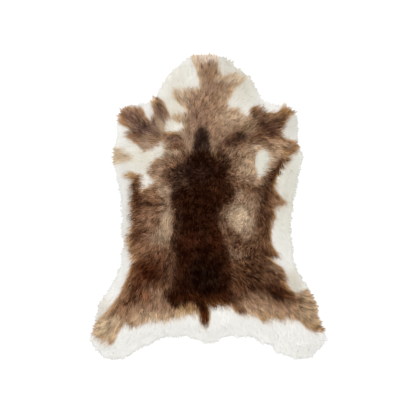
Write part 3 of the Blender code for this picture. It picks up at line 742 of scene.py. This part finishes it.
# %% Lock shapes
dice = np.random.default_rng(seed=9)
BLADES = 6
LOCK_SHAPES = 6
HAIR_LENGTH = 38 * MM
LYING_SHARE = 0.86  # how much of its length a lying hair covers on the ground
COAT_DEPTH = 31 * MM
LOCK_WIDTH = 2 * MM
BLADE_WIDTH = 0.66 * MM
TIP_STRAY = 0.4 * MM
SIDE_BEND = 1 * MM
ROLL = 0.5  # radians
START_RING = (0.2, 1)  # where a blade starts, as a squared share of the lock's width
DRAWN_IN = (0.1, 0.3)  # how much of that is left at its tip
BLADE_LENGTHS = (0.84, 1)
BLADE_TOPS = (0.9, 1.04)
BLADE_WIDTHS = (0.8, 1.2)
ROOT_HEIGHT = 0.5  # heights are shares of the coat's height
WIDEST_HEIGHT = 0.84
WIDEST_REACH = 0.36
WIDEST_SHARE = 0.45  # how far up the hair its widest part counts for the colours


def blade(bm):
    """One kite: from a root half up in the coat over its widest part to the tip on top."""
    made = bmesh.ops.create_circle(bm, cap_ends=True, segments=4, radius=1)["verts"]
    root, one, other, tip = sorted(made, key=lambda v: round(v.co.x, 3))
    spin = dice.uniform(0, 2 * np.pi)
    start = np.array((np.cos(spin), np.sin(spin))) * dice.uniform(*START_RING) ** 0.5 * LOCK_WIDTH
    end = start * dice.uniform(*DRAWN_IN) + dice.normal(0, TIP_STRAY, 2)
    reach = HAIR_LENGTH * dice.uniform(*BLADE_LENGTHS)
    bend = dice.normal(0, SIDE_BEND)
    roll = dice.uniform(-ROLL, ROLL)
    top = dice.uniform(*BLADE_TOPS)
    width = BLADE_WIDTH * dice.uniform(*BLADE_WIDTHS)
    side = np.array((0, np.cos(roll) * width, np.sin(roll) * width / COAT_DEPTH))
    aside = (start[1] + end[1]) / 2 + bend
    middle = np.array((start[0] + WIDEST_REACH * reach, aside, WIDEST_HEIGHT * top))
    root.co = (start[0], start[1], ROOT_HEIGHT)
    one.co = middle + side
    other.co = middle - side
    tip.co = (end[0] + LYING_SHARE * reach, end[1], top)
    bmesh.ops.connect_verts(bm, verts=[one, other])
    return {root: 0, one: WIDEST_SHARE, other: WIDEST_SHARE, tip: 1}


def lock_shape():
    """Points (forwards, sideways, share of coat height), triangles, share along, blade number."""
    bm = bmesh.new()
    blades = [blade(bm) for _ in range(BLADES)]
    bm.verts.index_update()
    share = np.zeros(len(bm.verts))
    number = np.zeros(len(bm.verts), int)
    for b, shares in enumerate(blades):
        for v, s in shares.items():
            share[v.index] = s
            number[v.index] = b
    points = np.array([v.co for v in bm.verts])
    faces = np.array([[v.index for v in f.verts] for f in bm.faces])
    bm.free()
    return points, faces, share, number


locks = [lock_shape() for _ in range(LOCK_SHAPES)]
print("Triangles in a lock:", len(locks[0][1]))

# %% [markdown]
# ## Where the locks grow
# The skin ends two centimetres inside the outline, because the outermost hair reaches past it. Over
# the skin the locks stand on a shaken honeycomb: even enough to leave no bare spot, and without
# rows that show. Along the skin's edge four closer rows are added, so that the rim looks as full as
# the middle although no hair lies over it from further out.

# %% Places of the locks
SKIN_INSET = 20 * MM
LOCK_SPACING = 3.65 * MM
HONEYCOMB = 0.866  # the rows of a honeycomb stand closer than its columns
SHAKE = 0.42
EDGE_ROWS = (-3 * MM, 0, 3 * MM, 6 * MM)
EDGE_SPACING = 2.3 * MM
EDGE_SHAKE = 0.45
EDGE_ROUGH = 1.5
JUST_INSIDE = 0.985  # shrinks the rim a little, because on the line itself no way is out


def planted():
    """Roots on a shaken honeycomb, inside the skin's edge."""
    low, high = rim.min(0), rim.max(0)
    rows = np.arange(low[1], high[1], LOCK_SPACING * HONEYCOMB)
    across = np.arange(low[0], high[0], LOCK_SPACING)
    grid = np.array([(x + (i % 2) * LOCK_SPACING / 2, y) for i, y in enumerate(rows) for x in across])
    grid += dice.uniform(-SHAKE, SHAKE, grid.shape) * LOCK_SPACING
    return grid[inset(grid, rim) > SKIN_INSET]


def edge_row(deep):
    """Roots in a row that follows the rim, deep inside it."""
    ring = np.vstack([rim, rim[:1]])
    ran = np.concatenate([[0], np.cumsum(np.linalg.norm(np.diff(ring, axis=0), axis=1))])
    at = np.arange(0, ran[-1], EDGE_SPACING)
    at = at + dice.uniform(-EDGE_SHAKE, EDGE_SHAKE, len(at)) * EDGE_SPACING
    spots = np.stack([np.interp(at, ran, ring[:, k]) for k in (0, 1)], 1)
    rough = dice.uniform(-EDGE_ROUGH, EDGE_ROUGH, (len(at), 1)) * MM
    return spots - outward(spots * JUST_INSIDE)[0] * (deep + rough)


roots = np.vstack([planted(), *(edge_row(SKIN_INSET + shift) for shift in EDGE_ROWS)])
print("Locks:", len(roots), " triangles:", len(roots) * BLADES * 2)

# %% [markdown]
# ## Streaks
# Light and dark strands run with the hair. So random values are averaged along its direction: they
# change quickly from lock to lock and slowly from root to tip. A noise without direction would make
# spots instead of strands.

# %% Streaks that run with the hair
STREAK_WIDTH = 3.5 * MM
STREAK_REACH = 9 * MM
STREAK_READS = 9
LOOSE_STREAK = 0.5  # how much shorter a streak is where the hair stands loose
OWN_SHADE = 0.35
DARKEST_LOCK = -2.4
PALEST_LOCK = 1.7
angle, loose, inside = hair_flow(roots)
grain = chart(STREAK_WIDTH, lambda places: dice.normal(0, 1, (len(places), 2)))
heading = np.stack([np.cos(angle), np.sin(angle)], 1)
steps = np.linspace(-STREAK_REACH, STREAK_REACH, STREAK_READS)
shorter = 1 - LOOSE_STREAK * loose[:, None]
strands = sum(read(grain, roots + heading * step * shorter) for step in steps)
strands /= strands.std(0)
shades = strands[:, 0] + OWN_SHADE * dice.normal(0, 1, len(roots))
lighter = np.clip(shades, DARKEST_LOCK, PALEST_LOCK)
overlap = strands[:, 1]
print("Strands read for every lock:", strands.shape)

# %% [markdown]
# ## Tufts
# Neighbouring locks cling together in tufts about 8 mm wide, which draw to a point. Over the coat
# that is hardly seen, but at the rim it makes the ragged outline. The tips are sorted into cells,
# and every lock leans towards the middle of its own cell.

# %% Tufts
TUFT_WIDTH = 8 * MM
RIM_TUFT_WIDTH = 10 * MM
TUFT_SHAKE = 3 * MM
TUFT_WAVE = 1.5 * CM
STRAY_TURN = np.radians(7)
LOOSE_STRAY = 2
GATHERED = 0.45
RIM_GATHERED = 0.6
angle += dice.normal(0, STRAY_TURN, len(roots)) * (1 + LOOSE_STRAY * loose)
heading = np.stack([np.cos(angle), np.sin(angle)], 1)
sideways = np.stack([-heading[:, 1], heading[:, 0]], 1)
tips = roots + heading * np.minimum(inside, LYING_SHARE * HAIR_LENGTH)[:, None]
at_rim = inside < LYING_SHARE * HAIR_LENGTH
width = np.where(at_rim, RIM_TUFT_WIDTH, TUFT_WIDTH)[:, None]
shaken = tips + TUFT_SHAKE * np.stack([drift(tips, TUFT_WAVE, k) for k in (61, 67)], 1)
cell = np.column_stack([np.floor(shaken / width), at_rim]).astype(int)
tuft = np.unique(cell, axis=0, return_inverse=True)[1].ravel()
middle = np.stack([np.bincount(tuft, tips[:, k]) / np.bincount(tuft) for k in (0, 1)], 1)[tuft]
off_axis = ((middle - tips) * sideways).sum(1)
gather = off_axis * np.where(at_rim, RIM_GATHERED, GATHERED)
print("Tufts:", tuft.max() + 1)

# %% [markdown]
# ## Length and height
# Hairs of one coat differ in length, and at the rim whole tufts stick out further or stay back, so
# the outline has lobes, spikes and notches. A few long tufts stand out at the shoulders, at the
# neck spot and at the legs. Every other lock ends where its tuft lets it, and the hair grows lower
# towards the rim.

# %% Length and height of every lock
# Columns: name, across, along, and how much further its tip reaches, all in cm.
LONG_LOCKS = (
    ("right shoulder, inner", 29.4, 39.4, 1.4),
    ("right shoulder, middle", 32, 38.6, 0.7),
    ("right shoulder, outer", 33.6, 37.2, 0.9),
    ("left shoulder, inner", -30.6, 39.6, 0.7),
    ("left shoulder, outer", -33.6, 38.4, 0.8),
    ("left shoulder, side", -35.2, 35.8, 0.6),
    ("left neck spot", -21.4, 42.6, 0.8),
    ("right leg corner", 45.6, -51.6, 0.8),
    ("left leg corner", -45.6, -51.8, 0.8),
)
LONG_LOCK_WIDTH = 0.7  # cm
LONGEST_SPIKE = 10 * MM
DEEPEST_NOTCH = 5 * MM
SPIKE_TAPER = 1.3
HAIR_ENDS = 0.5 * MM  # how unevenly single locks end
LOBES = 3.5 * MM
LOBE_WIDTH = 2.2 * CM
LENGTHS = (0.8, 1.12)
LOOSE_SHORTER = 0.3
TIP_REACH = 0.93 * LYING_SHARE * HAIR_LENGTH  # from the root to the tip of a middling blade
TOPS = (0.93, 1.05)
SWELL = 0.04
SWELL_WIDTH = 2.4 * CM
LOWER_AT_RIM = 0.4
LOWER_FROM = 5 * CM


def lower_near_rim(inside):
    """Share of its full height that the coat keeps: less towards the skin's edge."""
    return 1 - LOWER_AT_RIM * np.clip(1 - (inside - SKIN_INSET) / LOWER_FROM, 0, 1)


spike = dice.uniform(-DEEPEST_NOTCH, LONGEST_SPIKE, tuft.max() + 1)[tuft]
to_rim = inside + spike - SPIKE_TAPER * np.abs(off_axis) + HAIR_ENDS * dice.normal(0, 1, len(roots))
reach = dice.uniform(*LENGTHS, len(roots)) * (1 - LOOSE_SHORTER * loose)
landing = roots + heading * inside[:, None]
to_rim += LOBES * drift(landing, LOBE_WIDTH, 91)
for _, across, along, extra in LONG_LOCKS:
    near = np.hypot(*(landing / CM - (across, along)).T) < LONG_LOCK_WIDTH
    to_rim[near] += extra * CM
    reach[near] += extra * CM / HAIR_LENGTH
reach = np.minimum(reach, to_rim / TIP_REACH)
lift = dice.uniform(*TOPS, len(roots)) + SWELL * drift(roots, SWELL_WIDTH, 71)
lift *= lower_near_rim(inside)
lengths = (reach.min() * HAIR_LENGTH / MM, reach.max() * HAIR_LENGTH / MM)
print("Shortest and longest lock:", *(round(length, 1) for length in lengths), "mm")

# %% [markdown]
# ## Laying a lock
# Every lock is copied to its place by arithmetic on whole arrays, which takes seconds for the whole
# coat; an object for each lock would take minutes. The points are moved on the ground first, and
# then raised to the height of the coat over the spot where they ended up, so no lock stands far out
# of it or sinks into the floor.

# %% Where the points of a lock come to lie
WIDTH_KEPT = 0.8  # a short lock isn't as much narrower as it is shorter
LEAST_HEIGHT = 0.8 * MM
LEAST_ARCH = 2 * MM
CURL = 1.3


def laid(kind, here):
    """Points on the ground plan and heights of the chosen locks of one shape."""
    shape, _, share, _ = locks[kind]
    forward = shape[:, 0] * reach[here, None]
    narrowed = WIDTH_KEPT + (1 - WIDTH_KEPT) * reach[here, None]
    aside = shape[:, 1] * narrowed + gather[here, None] * share**CURL
    flat = (
        roots[here, None]
        + forward[:, :, None] * heading[here, None]
        + aside[:, :, None] * sideways[here, None]
    )
    tall = coat_height(flat.reshape(-1, 2)).reshape(forward.shape)
    least = LEAST_HEIGHT + LEAST_ARCH * share * (1 - share)
    return flat, np.maximum(tall * shape[:, 2] * lift[here, None], least)


print("Points in a lock:", len(locks[0][0]))

# %% [markdown]
# ## Colouring a lock
# A point takes its colour from the chart, a little further back along its hair, since a hair
# carries the colour of the spot where it grew. How far back differs from strand to strand, which
# gives the patches their hairy edges. Then each strand is made lighter or darker. A dark strand
# stays warm and a pale one turns greyish, as sun-bleached hair does.

# %% The colour of every point
CARRY = 2 * MM
CARRY_STRANDS = 5 * MM
CARRY_BLADES = 5 * MM
SHADE_SPREAD = 1.5
DARK_STRAND = (0.85, 1, 1.12)  # red darkens least
PALE_STRAND = 0.03 * linear("#b89a7c")
PALE_GAIN = 0.6
BROWN_GAIN = (0.16, 0.12, 0.08)  # brown locks shade each other, so their own colour is lighter
EVEN_BRIGHTNESS = 0.13  # darker hair than this gets more contrast, paler hair less
CONTRAST = (0.5, 1.5)
MOST_GRIZZLE = 0.3
MOST_TINT = 0.97


def dyed_points(kind, here, flat):
    """Colour and streakiness of every point of the chosen locks."""
    number = locks[kind][3]
    carry = CARRY + CARRY_STRANDS * overlap[here, None]
    carry = carry + dice.uniform(-1, 1, (len(here), BLADES))[:, number] * CARRY_BLADES
    seen = read(dyed, (flat - heading[here, None] * carry[:, :, None]).reshape(-1, 2))
    streaky = seen[:, 3] * np.clip((EVEN_BRIGHTNESS / seen[:, 1]) ** 0.5, *CONTRAST)
    shade = (SHADE_SPREAD * streaky * np.repeat(lighter[here], len(number)))[:, None]
    own = seen[:, :3] * (1 + seen[:, 4:] * BROWN_GAIN)
    darker = own * np.exp(shade * DARK_STRAND)
    paler = own * np.exp(PALE_GAIN * shade) + PALE_STRAND * shade
    tint = np.clip(np.where(shade < 0, darker, paler), 0, MOST_TINT)
    return tint, np.minimum(streaky, MOST_GRIZZLE)


print("Gain of brown hair:", BROWN_GAIN)

# %% [markdown]
# ## From arrays to meshes
# The arrays become meshes that carry four things for the materials: the tint, how grizzled the hair
# is, how far along the hair a point lies, and a random value for each strand. A finished object
# stays at the origin, unturned, with its place in its mesh.

# %% Meshes with attributes
def placed(name, data):
    """An object at the origin that shows the data."""
    piece = bpy.data.objects.new(name, data)
    bpy.context.scene.collection.objects.link(piece)
    return piece


def finished(name, bm):
    """An object made from a bmesh, which is freed."""
    mesh = bpy.data.meshes.new(name)
    bm.to_mesh(mesh)
    bm.free()
    return placed(name, mesh)


def store_tint(mesh, tint):
    """Keeps a linear colour on every vertex, for the material to read."""
    colour = mesh.attributes.new("tint", "FLOAT_COLOR", "POINT")
    colour.data.foreach_set("color", np.column_stack([tint, np.ones(len(tint))]).ravel())


def coat_mesh(name, parts):
    """A smooth mesh with its attributes and its map, from lists of arrays."""
    mesh = bpy.data.meshes.new(name)
    mesh.from_pydata(np.vstack(parts["point"]), [], np.vstack(parts["face"]))
    mesh.shade_smooth()
    for key in ("grizzle", "along", "strand"):
        values = np.concatenate(parts[key])
        mesh.attributes.new(key, "FLOAT", "POINT").data.foreach_set("value", values)
    store_tint(mesh, np.vstack(parts["tint"]))
    corner = np.zeros(len(mesh.loops), np.int32)
    mesh.loops.foreach_get("vertex_index", corner)
    flat_map = np.vstack(parts["map"])[corner]
    mesh.uv_layers.new(name="OFBake").uv.foreach_set("vector", flat_map.ravel())
    return mesh


print("Attributes of the hair: tint, grizzle, along, strand")

# %% [markdown]
# ## The coat
# The coat is made as six pieces, from the neck to the rump, to keep each one a moderate size. The
# locks are sorted from the neck down and dealt out to them. Each piece also gets a flat map with
# one square cell for each lock, so that a colour can be baked on it.

# %% Six pieces of coat
BANDS = ("neck", "shoulders", "chest", "flanks", "loin", "rump")
CELL_MARGIN = 0.08


def coat_piece(name, chosen):
    """One piece of all the chosen locks."""
    parts = {key: [] for key in ("point", "face", "tint", "grizzle", "along", "strand", "map")}
    count = 0
    kinds = dice.integers(0, LOCK_SHAPES, len(chosen))
    cells = int(np.ceil(np.sqrt(len(chosen))))
    for kind, (_, triangles, share, number) in enumerate(locks):
        at = np.flatnonzero(kinds == kind)
        here = chosen[at]
        flat, tall = laid(kind, here)
        tint, grizzle = dyed_points(kind, here, flat)
        first = count + len(share) * np.arange(len(here))
        u = (at % cells)[:, None] + (number + 0.5) / BLADES
        v = (at // cells)[:, None] + CELL_MARGIN + (1 - 2 * CELL_MARGIN) * share
        parts["point"].append(np.dstack([flat, tall]).reshape(-1, 3))
        parts["face"].append((triangles + first[:, None, None]).reshape(-1, 3))
        parts["tint"].append(tint)
        parts["grizzle"].append(grizzle)
        parts["along"].append(np.tile(share, len(here)))
        parts["strand"].append(dice.uniform(0, 1, (len(here), BLADES))[:, number].ravel())
        parts["map"].append(np.stack([u, v], 2).reshape(-1, 2) / cells)
        count += len(share) * len(here)
    return placed(name, coat_mesh(name, parts))


order = np.argsort(-roots[:, 1])
coat = [coat_piece(f"hair_{band}", part) for band, part in zip(BANDS, np.array_split(order, len(BANDS)))]
print("Triangles in each piece of the coat:", [len(piece.data.polygons) for piece in coat])

# %% [markdown]
# ## Materials from nodes
# Three small helpers keep the materials short: one adds a node with its settings and links, one
# names the two ends of a range, and one starts a material and sets the shader's constant values on
# its own sockets.

# %% Helpers for materials
def add(tree, kind, links=(), **settings):
    """One node with its settings. links are pairs of an input's name and what feeds it."""
    node = tree.nodes.new(kind)
    for name, value in settings.items():
        if name in node.inputs:
            node.inputs[name].default_value = value
        else:
            setattr(node, name, value)
    for name, source in links:
        tree.links.new(source, node.inputs[name])
    return node


def ends(low, high):
    """The settings of a range from low to high."""
    return {"To Min": low, "To Max": high}


def new_material(name, **sockets):
    """A material, its node tree and its shader, with the shader's constant values set."""
    material = bpy.data.materials.new(name)
    material.use_nodes = True
    shader = material.node_tree.nodes["Principled BSDF"]
    for socket, value in sockets.items():
        shader.inputs[socket.replace("_", " ")].default_value = value
    return material, material.node_tree, shader


print("A range from 0 to 1 is set by:", ends(0, 1))

# %% [markdown]
# ## Guard hair
# Real guard hair is matt, pale inside and coloured by its outer layer: reddish near the root, paler
# at the tip, and no two strands alike. Its darker root is partly the hair's own colour and partly
# painted shade deep in the coat. The tint comes from the markings. How much root, tip and strand
# change it is the streakiness of the place, so white hair stays smooth and brown hair looks grizzled.
# It has almost no shine, which is what makes fur look soft.

# %% Reindeer guard hair
# the root end is darker: partly the hair's own colour, partly painted shade deep in the coat
ROOT_SHADE = -1.8
TIP_SHADE = 0.7
STRAND_SHADE = 1.3
WARMTH = (0.9, 1, 0.95)  # red changes least, so a darker root looks warmer
SHEEN_LEFT = 0.005
hair, tree, shader = new_material(
    "reindeer_guard_hair", Roughness=0.7, IOR=1.55, Specular_IOR_Level=SHEEN_LEFT
)
along = add(tree, "ShaderNodeAttribute", attribute_name="along").outputs["Fac"]
tip = add(tree, "ShaderNodeMapRange", [("Value", along)], **ends(ROOT_SHADE, TIP_SHADE))
one = add(tree, "ShaderNodeAttribute", attribute_name="strand").outputs["Fac"]
strand = add(tree, "ShaderNodeMapRange", [("Value", one)], **ends(-STRAND_SHADE, STRAND_SHADE))
both = add(tree, "ShaderNodeMath", [(0, tip.outputs[0]), (1, strand.outputs[0])], operation="ADD")
most = add(tree, "ShaderNodeAttribute", attribute_name="grizzle").outputs["Fac"]
grizzled = add(tree, "ShaderNodeMath", [(0, both.outputs[0]), (1, most)], operation="MULTIPLY")
gain = add(tree, "ShaderNodeVectorMath", [(0, grizzled.outputs[0])], operation="MULTIPLY_ADD")
gain.inputs[1].default_value = WARMTH
gain.inputs[2].default_value = (1, 1, 1)
tint = add(tree, "ShaderNodeAttribute", attribute_name="tint").outputs["Color"]
final = add(tree, "ShaderNodeVectorMath", [(0, tint), (1, gain.outputs[0])], operation="MULTIPLY")
tree.links.new(final.outputs[0], shader.inputs["Base Color"])
for piece in coat:
    piece.data.materials.append(hair)
print("Nodes in the guard hair:", len(tree.nodes))

# %% [markdown]
# ## Undercoat
# Under the guard hair a reindeer has fine wool that fills the coat. Between the locks it is only
# glimpsed, so it can be a soft cushion: a flat grid cut to the outline, raised to three quarters of
# the coat's height (a little more under white hair, where it shines through), and made uneven by
# noise. It keeps the floor from showing through the hair.

# %% A cushion of wool
WOOL_STEP = 7 * MM
WOOL_INSET = 15 * MM
WOOL_HEIGHT = 0.74
WHITE_WOOL_RISE = 0.08
WOOL_SLOPE = 18 * MM
WOOL_RIM = 0.12
WOOL_ROUND = 0.6
WOOL_BUMPS = 1 * MM
WOOL_BUMP_WIDTH = 1.3 * CM
WOOL_FOOT = 1 * MM
LEAST_WOOL = 2.2 * MM
# the wool is painted darker than the markings: painted shade under the guard hair
WOOL_PAINTED_SHADE = 0.85
low, high = rim.min(0), rim.max(0)
across, along = high - low
bm = bmesh.new()
bmesh.ops.create_grid(bm, x_segments=int(across / WOOL_STEP), y_segments=int(along / WOOL_STEP), size=0.5)
bmesh.ops.scale(bm, vec=(across, along, 1), verts=bm.verts[:])
deep = inset(np.array([v.co.xy for v in bm.verts]), rim)
outside = [v for v, d in zip(bm.verts, deep) if d < WOOL_INSET]
bmesh.ops.delete(bm, geom=outside, context="VERTS")
bmesh.ops.delete(bm, geom=[v for v in bm.verts if not v.link_faces], context="VERTS")
border = [v for v in bm.verts if v.is_boundary]
out, deep = outward(np.array([v.co.xy for v in border]))
for v, way, d in zip(border, out, deep):
    v.co.xy += Vector(way) * (d - WOOL_INSET)
raised = bmesh.ops.extrude_face_region(bm, geom=bm.faces[:])["geom"]
top = [item for item in raised if isinstance(item, bmesh.types.BMVert)]
places = np.array([v.co.xy for v in top])
deep = inset(places, rim)
filled = WOOL_HEIGHT + WHITE_WOOL_RISE * (1 - read(dyed, places)[:, 4])
tall = coat_height(places) * filled * lower_near_rim(deep)
tall *= np.clip((deep - WOOL_INSET) / WOOL_SLOPE, WOOL_RIM, 1) ** WOOL_ROUND
tall += WOOL_BUMPS * drift(places, WOOL_BUMP_WIDTH, 83)
for v in bm.verts:
    v.co.z = WOOL_FOOT
for v, h in zip(top, tall):
    v.co.z = max(h, LEAST_WOOL)
bmesh.ops.recalc_face_normals(bm, faces=bm.faces[:])
wool_piece = finished("undercoat", bm)
mesh = wool_piece.data
mesh.shade_smooth()
# the markings' colour, painted darker as shade under the guard hair
store_tint(mesh, read(dyed, np.array([v.co.xy for v in mesh.vertices]))[:, :3] * WOOL_PAINTED_SHADE)
print("Faces of the undercoat:", len(mesh.polygons))

# %% [markdown]
# ## Wool
# The wool is crimped, fine and matt. One fine noise gives the eye both crimp and shade: it darkens
# the colour in the hollows between the fibres, which is painted shade, and it roughens the surface
# through a bump. Real wool fibres are far finer than 2.5 mm; they are drawn this coarse so that they
# show at all. The colour itself is the tint that the markings left on the mesh, painted a little
# darker as shade under the guard hair.

# %% Reindeer wool
FIBRE = 2.5 * MM
# painted shade: the colour is darkest in the hollows of the noise
HOLLOW_SHADE = 0.86
CREST = 1.1
wool, tree, shader = new_material("reindeer_wool", Roughness=0.9, Specular_IOR_Level=0.03)
at = add(tree, "ShaderNodeTexCoord").outputs["Object"]
fibres = add(tree, "ShaderNodeTexNoise", [("Vector", at)], Scale=1 / FIBRE, Detail=3, Roughness=0.6)
hollow = add(tree, "ShaderNodeMapRange", [("Value", fibres.outputs["Fac"])], **ends(HOLLOW_SHADE, CREST))
tint = add(tree, "ShaderNodeAttribute", attribute_name="tint").outputs["Color"]
links = [(0, tint), ("Scale", hollow.outputs[0])]
mixed = add(tree, "ShaderNodeVectorMath", links, operation="SCALE")
bump = add(tree, "ShaderNodeBump", [("Height", fibres.outputs["Fac"])], Strength=0.4, Distance=1 * MM)
tree.links.new(mixed.outputs[0], shader.inputs["Base Color"])
tree.links.new(bump.outputs["Normal"], shader.inputs["Normal"])
wool_piece.data.materials.append(wool)
print("Nodes in the wool:", len(tree.nodes))

# %% [markdown]
# ## The skin
# The skin is a flat sheet 2 mm thick. Its outline is the rim moved inwards, and one face is enough
# for each side. The knife leaves a sharp edge that soon wears round, so both rings of edges get a
# small bevel. Cloth simulation would drape it, but it lies flat on a floor, so there is nothing to
# drape.

# %% A flat sheet
SKIN_THICK = 2 * MM
SKIN_BEVEL = 0.5 * MM
edge = rim - outward(rim * JUST_INSIDE)[0] * SKIN_INSET
bm = bmesh.new()
face = bm.faces.new([bm.verts.new((x, y, 0)) for x, y in edge])
raised = bmesh.ops.extrude_face_region(bm, geom=[face])["geom"]
lifted = [item for item in raised if isinstance(item, bmesh.types.BMVert)]
bmesh.ops.translate(bm, verts=lifted, vec=(0, 0, SKIN_THICK))
rings = [e for e in bm.edges if abs(e.verts[0].co.z - e.verts[1].co.z) < SKIN_BEVEL]
bmesh.ops.bevel(bm, geom=rings, offset=SKIN_BEVEL, segments=2, profile=0.5, affect="EDGES", material=-1)
bmesh.ops.recalc_face_normals(bm, faces=bm.faces[:])
skin = finished("skin", bm)
print("Faces of the skin:", len(skin.data.polygons))

# %% [markdown]
# ## Suede
# The flesh side is split and buffed: a pale buff leather, blotchy where the tanning took unevenly,
# with a short nap that scatters the light. Nobody sees it while the hide lies on a floor, so two
# noises are enough: a wide one for the blotches and a fine one for the nap.

# %% Tanned suede
BLOTCH = 60 * MM
NAP = 1.2 * MM


def blotched(tree, shader, size, detail, pale, dark):
    """Spreads two colours over the shader in soft blotches. Returns the coordinates they use."""
    at = add(tree, "ShaderNodeTexCoord").outputs["Object"]
    blotches = add(tree, "ShaderNodeTexNoise", [("Vector", at)], Scale=1 / size, Detail=detail)
    colours = add(tree, "ShaderNodeValToRGB", [("Fac", blotches.outputs["Fac"])])
    for stop, colour in zip(colours.color_ramp.elements, (pale, dark)):
        stop.color = (*linear(colour), 1)
    tree.links.new(colours.outputs["Color"], shader.inputs["Base Color"])
    return at


suede, tree, shader = new_material("tanned_suede", Roughness=0.92, Specular_IOR_Level=0.2)
at = blotched(tree, shader, BLOTCH, 4, "#ddccb0", "#b9a27d")
nap = add(tree, "ShaderNodeTexNoise", [("Vector", at)], Scale=1 / NAP, Detail=2)
bump = add(tree, "ShaderNodeBump", [("Height", nap.outputs["Fac"])], Strength=0.3, Distance=0.4 * MM)
tree.links.new(bump.outputs["Normal"], shader.inputs["Normal"])
skin.data.materials.append(suede)
print("Nodes in the suede:", len(tree.nodes))

# %% [markdown]
# ## The floor
# The hide lies on pale paper without a seam. A single large face is enough. Real paper isn't one
# flat white: its pulp gives it a faint fleck, which is drawn as two whites close together.

# %% Paper floor
FLOOR_SIZE = 6
FLECK = 6 * MM
bm = bmesh.new()
bmesh.ops.create_grid(bm, x_segments=1, y_segments=1, size=FLOOR_SIZE)
floor = finished("floor", bm)
paper, tree, shader = new_material("floor_paper", Roughness=0.9, Specular_IOR_Level=0)
blotched(tree, shader, FLECK, 3, "#f8f8f8", "#f4f4f4")
floor.data.materials.append(paper)
print("Floor:", 2 * FLOOR_SIZE, "m wide")

# %% [markdown]
# ## Hang everything on the frame
# The hide has no joints, so all pieces ride on its one body. The skin takes the place of the CAD
# solid, which is hidden. The skin's flat size is the size it was cut to, and the hair and the wool
# grow from it.

# %% Ride, and the flat size of the skin
def area_of(ring):
    """Area inside a closed ring of points."""
    x, y = ring.T
    return 0.5 * abs(np.dot(x, np.roll(y, -1)) - np.dot(y, np.roll(x, -1)))


for piece in (skin, wool_piece, *coat):
    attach(piece, "root")
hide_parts("hide")
print("Flat size of the skin:", *np.ptp(edge, axis=0).round(3), "m, area", round(area_of(edge), 3), "m2")

# %% [markdown]
# ## Light
# An even white surrounding and one large soft lamp above: the hair then shows its own colours, and
# only a faint shade under the rim tells that it has thickness. Hard lamps would make the coat
# glitter and draw dark shadows between the locks.

# %% Surrounding and lamp
LAMP_SIZE = 2.4
LAMP_POWER = 40
LAMP_PLACE = (-0.3, 0.3, 2.6)
world = bpy.data.worlds.new("studio")
world.use_nodes = True
world.node_tree.nodes["Background"].inputs["Color"].default_value = (1, 1, 1, 1)
world.node_tree.nodes["Background"].inputs["Strength"].default_value = 1
bpy.context.scene.world = world
light = bpy.data.lights.new("softbox", "AREA")
light.size = LAMP_SIZE
light.energy = LAMP_POWER
lamp = placed("softbox", light)
lamp.location = LAMP_PLACE
lamp.rotation_euler = Vector(lamp.location).to_track_quat("Z", "Y").to_euler()
print("Lamp:", LAMP_POWER, "W at", LAMP_PLACE)

# %% [markdown]
# ## Camera
# The hide is seen from straight above. A camera six metres up with a long lens shows it almost
# without perspective, so its outline keeps its proportions. The Standard view keeps the whites
# white.

# %% Camera
CAMERA_HEIGHT = 6.0
SEEN_WIDTH = 1.622
SEEN_AT = 2 * CM  # the height at which the view is that wide
VIEW_SHIFT = -4 * MM
SENSOR = 36
bpy.context.scene.view_settings.view_transform = "Standard"
camera_data = bpy.data.cameras.new("camera")
camera_data.sensor_width = SENSOR
camera_data.lens = SENSOR * (CAMERA_HEIGHT - SEEN_AT) / SEEN_WIDTH
camera = placed("camera", camera_data)
camera.location = (0, VIEW_SHIFT, CAMERA_HEIGHT)
bpy.context.scene.camera = camera
print("Lens:", round(camera_data.lens, 1), "mm")
